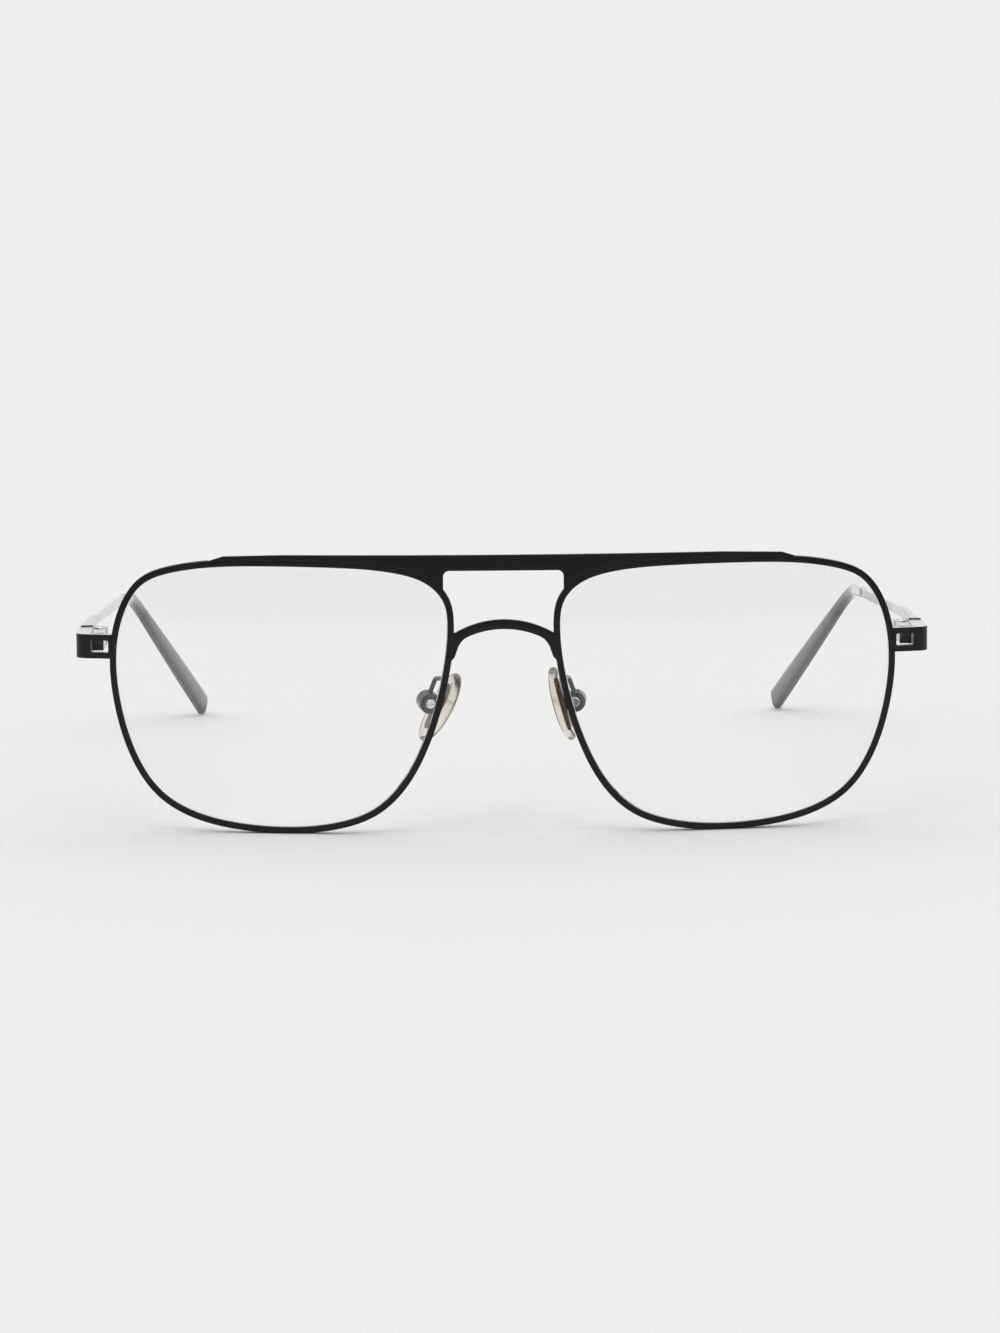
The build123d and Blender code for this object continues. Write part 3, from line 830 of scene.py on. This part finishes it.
screw_steel, shader = grained(
    "screw_steel", (0.66, 0.65, 0.63), (0.80, 0.79, 0.77), smooth=0.14, rough=0.26, bump=0.10,
    fine_scale=9000.0, broad_scale=900.0,
)
feed(shader, {"Metallic": 1.0})

screw_tree, given = geometry_tree("slotted_screw", {
    "Shank radius": "Float", "Shank length": "Float", "Head radius": "Float", "Head height": "Float",
    "Slot width": "Float", "Slot depth": "Float", "Place": "Vector", "Turn": "Vector",
    "Finish": "Material",
})


def raised(shape, height):
    """A shape of the screw, moved up by a height."""
    lifted = wired(screw_tree, "ShaderNodeCombineXYZ", {"Z": height})
    moved = wired(screw_tree, "GeometryNodeTransform", {
        "Geometry": shape.outputs["Mesh"], "Translation": lifted.outputs["Vector"],
    })
    return moved.outputs["Geometry"]


def turned_stage(wide, narrow, low, high):
    """A round stage of the screw between two heights."""
    return raised(wired(screw_tree, "GeometryNodeMeshCone", {
        "Vertices": screw_sides, "Radius Bottom": wide, "Radius Top": narrow,
        "Depth": sums("SUBTRACT", high, low),
    }), low)


shank_end = given["Shank length"]
head_end = sums("ADD", shank_end, given["Head height"])
head_shoulder = sums("ADD", shank_end, sums("MULTIPLY", given["Head height"], shoulder_share))
head_crown = sums("MULTIPLY", given["Head radius"], crown_share)
drum = turned_stage(given["Head radius"], given["Head radius"], shank_end, head_shoulder)
dome = turned_stage(given["Head radius"], head_crown, head_shoulder, head_end)
shank = turned_stage(given["Shank radius"], given["Shank radius"], 0.0, shank_end)
# The cutter's middle lies on the crown of the head, so it is twice as deep as its slot.
cutter_size = wired(screw_tree, "ShaderNodeCombineXYZ", {
    "X": sums("MULTIPLY", given["Head radius"], cutter_reach), "Y": given["Slot width"],
    "Z": sums("MULTIPLY", given["Slot depth"], 2.0),
})
cutter = wired(screw_tree, "GeometryNodeMeshCube", {"Size": cutter_size.outputs["Vector"]})
welded = wired(screw_tree, "GeometryNodeMeshBoolean", {}, operation="UNION", solver="EXACT")
for stage in (drum, dome, shank):
    feed(welded, {"Mesh": stage})
slotted = wired(screw_tree, "GeometryNodeMeshBoolean", {
    "Mesh 1": welded.outputs["Mesh"], "Mesh 2": raised(cutter, head_end),
}, operation="DIFFERENCE", solver="EXACT")
set_place = wired(screw_tree, "GeometryNodeTransform", {
    "Geometry": slotted.outputs["Mesh"], "Translation": given["Place"], "Rotation": given["Turn"],
})
end_tree(set_place.outputs["Geometry"], given["Finish"])


def fit_screw(name, node, shank, length, head, height, place, turn):
    """One screw of the tree above, in a node's place on the front."""
    mesh = grow(screw_tree, name, {
        "Shank radius": shank, "Shank length": length, "Head radius": head, "Head height": height,
        "Slot width": screw_slot_width, "Slot depth": screw_slot_depth,
        "Place": place, "Turn": turn, "Finish": screw_steel,
    })
    fit_piece(name, mesh, "front", node, sharp=25)


for side, way in sides:
    low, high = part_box(f"{side}_hinge_screw")
    middle = (low + high) / 2
    fit_screw(
        f"{side}_hinge_pin", f"{side}_hinge_screw", pin_shank_radius, pin_shank_length,
        pin_head_radius, pin_head_height, (middle.x, middle.y, low.z), (0, 0, way * pin_slot_turn),
    )
    low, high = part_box(f"{side}_closing_screw")
    middle = (low + high) / 2
    fit_screw(
        f"{side}_closing_pin", f"{side}_closing_screw", closing_shank_radius,
        high.z - low.z - closing_head_height, closing_head_radius, closing_head_height,
        (middle.x, middle.y, high.z), (math.pi, 0, way * closing_slot_turn),
    )

# Pad boxes, pad arms and pad screws
# A gunmetal wire rises from the back of each eyewire, turns down again in a small loop, and ends in
# a round box. A screw through the box holds the pad's eye, so that the pad can rock.

pad_pivot_y = 7.6 * mm
pad_pivot_z = 21.8 * mm
# Each pad's distance from the middle, then its tilt and its splay in degrees.
pad_settings = {"left": (12.2 * mm, 15.5, 8.0), "right": (12.7 * mm, 29.0, 17.0)}
pad_box_depth = 2.7 * mm
pad_box_radius = 1.8 * mm
pad_box_round = 0.22 * mm
pad_screw_radius = 0.45 * mm
pad_head_radius = 0.85 * mm
pad_head_height = 0.4 * mm
wire_radius = 0.4 * mm
wire_bend = 0.9 * mm
wire_sides = 20
bend_points = 9
arm_foot = (10.05 * mm, 1.4 * mm, 25.4 * mm)
arm_rise = (10.3 * mm, 4.0 * mm, 26.2 * mm)
arm_top_in = 1.2 * mm
arm_top_y = 6.7 * mm
arm_top_z = 25.9 * mm

gunmetal, shader = grained(
    "gunmetal", (0.030, 0.030, 0.034), (0.075, 0.075, 0.080), smooth=0.07, rough=0.16, bump=0.12,
    fine_scale=8000.0, broad_scale=500.0, fine_share=0.4,
)
feed(shader, {"Metallic": 1.0})


def pad_seat(side, way):
    """Where a pad's box stands, with its back, up and outward directions as a matrix."""
    half, tilt, splay = pad_settings[side]
    t, s = math.radians(tilt), math.radians(splay)
    back = Vector((way * math.sin(s) * math.cos(t), math.cos(s), math.sin(s) * math.sin(t)))
    outward = Vector((way * math.cos(s) * math.cos(t), -math.sin(s), math.cos(s) * math.sin(t)))
    up = way * outward.cross(back)
    place = Vector((way * half, front_y + pad_pivot_y, lift + pad_pivot_z))
    return Matrix.Translation(place) @ Matrix((back, up, outward)).transposed().to_4x4()


wire_tree, given = geometry_tree("wire_arm", {
    "Path": "Object", "Wire radius": "Float", "Bend radius": "Float", "Finish": "Material",
})
path_info = wired(wire_tree, "GeometryNodeObjectInfo", {"Object": given["Path"]})
rounded = wired(wire_tree, "GeometryNodeFilletCurve", {
    "Curve": path_info.outputs["Geometry"], "Radius": given["Bend radius"],
    "Count": bend_points, "Limit Radius": True,
}, mode="POLY")
round_section = wired(wire_tree, "GeometryNodeCurvePrimitiveCircle", {
    "Resolution": wire_sides, "Radius": given["Wire radius"],
})
drawn = wired(wire_tree, "GeometryNodeCurveToMesh", {
    "Curve": rounded.outputs["Curve"], "Profile Curve": round_section.outputs["Curve"],
    "Fill Caps": True,
})
end_tree(drawn.outputs["Mesh"], given["Finish"])

for side, way in sides:
    half = pad_settings[side][0]
    arm_corners = [
        arm_foot, arm_rise, (half - arm_top_in, arm_top_y, arm_top_z),
        (half, pad_pivot_y, pad_pivot_z + pad_box_radius / 2),
    ]
    run = [(way * x, front_y + y, lift + z) for x, y, z in arm_corners]
    path_curve = poly_curve(f"{side}_arm_path", run, False)
    mesh = grow(wire_tree, f"{side}_pad_wire", {
        "Path": path_curve, "Wire radius": wire_radius, "Bend radius": wire_bend, "Finish": gunmetal,
    })
    bpy.data.objects.remove(path_curve)
    fit_piece(f"{side}_pad_wire", mesh, "front", f"{side}_pad_arm", sharp=45)
    eased_copy(f"{side}_pad_cup", f"{side}_pad_box", gunmetal, pad_box_round, "front")

    seat = pad_seat(side, way)
    screw_end = seat @ Vector((pad_box_depth / 2, 0, 0))
    towards_head = (seat.to_3x3() @ Vector((-1, 0, 0))).normalized()
    turn = towards_head.to_track_quat("Z", "Y").to_euler()
    fit_screw(
        f"{side}_pad_pin", f"{side}_pad_screw", pad_screw_radius, pad_box_depth, pad_head_radius,
        pad_head_height, tuple(screw_end), tuple(turn),
    )

# Nose pads
# Clear silicone, moulded round a bronze insert whose eye hangs in the box. Soft, slightly warm, and
# just cloudy enough to show its edge.

pad_length = 12.9 * mm
pad_width = 7.2 * mm
pad_thickness = 2.2 * mm
pad_stand_off = 1.5 * mm
pad_crown_radius = 26.0 * mm
pad_edge = 0.95 * mm
pad_edge_fullness = 0.75
pad_edge_turn = 15
pad_points = 64
crown_shares = (0.15, 0.3, 0.45, 0.6, 0.72, 0.82)
back_shares = (0.72, 0.5, 0.25)
insert_round = 0.08 * mm
pad_shadow_tone = (0.80, 0.79, 0.77, 1.0)

silicone, shader = grained(
    "silicone", (0.89, 0.84, 0.77), (0.77, 0.71, 0.62), smooth=0.10, rough=0.26, bump=0.2,
    fine_scale=1500.0, broad_scale=260.0, mask_low=0.0, mask_high=1.0, bump_height=0.02 * mm,
)
feed(shader, {"Transmission Weight": 1.0, "IOR": 1.41})
clear_shadow(shader, pad_shadow_tone)

pad_bronze, shader = grained(
    "pad_bronze", (0.058, 0.036, 0.023), (0.13, 0.083, 0.054), smooth=0.20, rough=0.36, bump=0.2,
    fine_scale=6000.0, broad_scale=700.0,
)
feed(shader, {"Metallic": 1.0})

crown_z, back_z = -pad_stand_off - pad_thickness, -pad_stand_off


def pad_crown(x, y):
    """The height of a pad's crown in its own frame."""
    return crown_z + pad_crown_radius - math.sqrt(pad_crown_radius**2 - x**2 - y**2)


pad_profile = [("crown", share) for share in crown_shares]
pad_profile += [("edge", math.radians(degrees)) for degrees in range(-90, 91, pad_edge_turn)]
pad_profile += [("back", share) for share in back_shares]
pad_rings = []
for kind, value in pad_profile:
    ring = []
    for step in range(pad_points):
        angle = 2 * math.pi * step / pad_points
        wall = Vector((pad_width / 2 * math.cos(angle), pad_length / 2 * math.sin(angle)))
        if kind == "edge":
            inner = wall * (1 - pad_edge / wall.length)
            flat = inner + (wall - inner) * max(0.0, math.cos(value)) ** pad_edge_fullness
            low = pad_crown(*inner)
            z = (low + back_z) / 2 + (back_z - low) / 2 * math.sin(value)
        else:
            flat = wall * value * (1 - pad_edge / wall.length)
            z = pad_crown(*flat) if kind == "crown" else back_z
        ring.append((flat.x, flat.y, z))
    pad_rings.append(ring)

for side, way in sides:
    mesh = ringed_mesh(f"{side}_silicone_pad", pad_rings, (0, 0, crown_z), (0, 0, back_z), silicone)
    mesh.transform(pad_seat(side, way))
    if way < 0:
        mesh.flip_normals()
    fit_piece(f"{side}_silicone_pad", mesh, f"{side}_pad", f"{side}_nose_pad", sharp=60)
    eased_copy(
        f"{side}_pad_insert", f"{side}_pad_core", pad_bronze, insert_round, f"{side}_pad",
        steps=2,
    )

# Temples
# A flat blade of spring metal, deep at the hinge and slim behind it, sprayed satin black. Seen along
# its length it looks almost white, from a painted reflection of the bright room laid into its colour.

blade_round = 0.08 * mm

temple_lacquer, shader = grained(
    "temple_lacquer", (0.011, 0.011, 0.012), (0.018, 0.018, 0.019), smooth=0.14, rough=0.22, bump=0.05,
    fine_scale=9000.0, broad_scale=120.0,
)
feed(shader, {"Specular IOR Level": 0.30})
# Painted reflection: the satin black turns pale in colour where one looks along the blade.
paint_grazing_reflection(shader)
for side in ("left", "right"):
    eased_copy(
        f"{side}_temple_blade", f"{side}_temple", temple_lacquer, blade_round, f"{side}_temple",
        steps=2,
    )

# Temple tips
# Dark acetate, pushed hot over the end of the blade, bent down behind the ear and tumbled to a high
# polish. The neck is slim, the paddle broad and flat, with a softly squared end.

arm_start = Vector((71.45 * mm, 36.0 * mm, 33.1 * mm))
bend_point = Vector((71.2 * mm, 122.6 * mm, 28.6 * mm))
tip_end = Vector((58.9 * mm, 157.4 * mm, 1.84 * mm))
bend_radius = 22.0 * mm
tip_lead = 20.0 * mm
# Share of the tip's length, thickness and height.
tip_sizes = [
    (0.00, 1.26 * mm, 1.88 * mm), (0.016, 1.63 * mm, 2.05 * mm), (0.19, 1.74 * mm, 2.46 * mm),
    (0.41, 1.78 * mm, 2.60 * mm), (0.55, 1.92 * mm, 3.34 * mm), (0.74, 2.09 * mm, 4.15 * mm),
    (0.88, 2.16 * mm, 4.55 * mm), (1.00, 2.19 * mm, 4.73 * mm),
]
tip_ring_count = 84
tip_points = 40
tip_end_round = 0.55 * mm
tip_end_steps = 8
face_fullness = 0.62
rim_fullness = 0.82

acetate, shader = grained(
    "acetate", (0.030, 0.029, 0.031), (0.055, 0.053, 0.055), smooth=0.07, rough=0.14, bump=0.05,
    fine_scale=900.0, broad_scale=160.0, fine_share=0.25,
)
feed(shader, {"Coat Weight": 0.6, "Coat Roughness": 0.04})
# Painted reflection: the polished acetate turns pale in colour where one looks along it.
paint_grazing_reflection(shader)

neck_way = (bend_point - arm_start).normalized()
paddle_way = (tip_end - bend_point).normalized()
bend_angle = neck_way.angle(paddle_way)
bend_axis = neck_way.cross(paddle_way).normalized()
tangent_run = bend_radius * math.tan(bend_angle / 2)
neck_length = tip_lead - tangent_run
bend_length = bend_radius * bend_angle
paddle_length = (tip_end - bend_point).length - tangent_run
tip_length = neck_length + bend_length + paddle_length
tip_start = bend_point - neck_way * tip_lead
bend_start = bend_point - neck_way * tangent_run
bend_centre = bend_start + bend_axis.cross(neck_way) * bend_radius
neck_side = (Vector((1, 0, 0)) - neck_way * neck_way.x).normalized()


def tip_station(along):
    """Place, direction and side of the tip's path at a distance along it."""
    if along < neck_length:
        return tip_start + neck_way * along, neck_way, neck_side
    turn = Matrix.Rotation(min((along - neck_length) / bend_radius, bend_angle), 3, bend_axis)
    place = bend_centre + turn @ (bend_start - bend_centre)
    past = max(0.0, along - neck_length - bend_length)
    return place + turn @ neck_way * past, turn @ neck_way, turn @ neck_side


def tip_ring(along, thickness, height):
    """The tip's cross section at a distance along it: a flat slab with full round narrow sides."""
    place, direction, across = tip_station(along)
    upright = direction.cross(across)
    ring = []
    for step in range(tip_points):
        angle = 2 * math.pi * step / tip_points
        x = thickness / 2 * math.copysign(abs(math.cos(angle)) ** face_fullness, math.cos(angle))
        z = height / 2 * math.copysign(abs(math.sin(angle)) ** rim_fullness, math.sin(angle))
        ring.append(place + across * x + upright * z)
    return ring


shares, thicknesses, heights = zip(*tip_sizes)
left_rings = []
for step in range(tip_ring_count):
    along = tip_length * step / (tip_ring_count - 1) * (1 - tip_end_round / tip_length)
    sizes = [float(np.interp(along / tip_length, shares, run)) for run in (thicknesses, heights)]
    left_rings.append(tip_ring(along, *sizes))
for step in range(1, tip_end_steps):
    angle = math.radians(90 * step / tip_end_steps)
    inset = 2 * tip_end_round * (1 - math.cos(angle))
    along = tip_length - tip_end_round + tip_end_round * math.sin(angle)
    left_rings.append(tip_ring(along, thicknesses[-1] - inset, heights[-1] - inset))
left_poles = [tip_station(0)[0], tip_station(tip_length)[0]]
for side, way in sides:
    *rings, poles = [
        [(way * point.x, point.y + front_y, point.z + lift) for point in ring]
        for ring in left_rings + [left_poles]
    ]
    mesh = ringed_mesh(f"{side}_acetate_tip", rings, *poles, acetate)
    fit_piece(
        f"{side}_acetate_tip", mesh, f"{side}_temple", f"{side}_temple_tip", sharp=60,
    )

low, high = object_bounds()
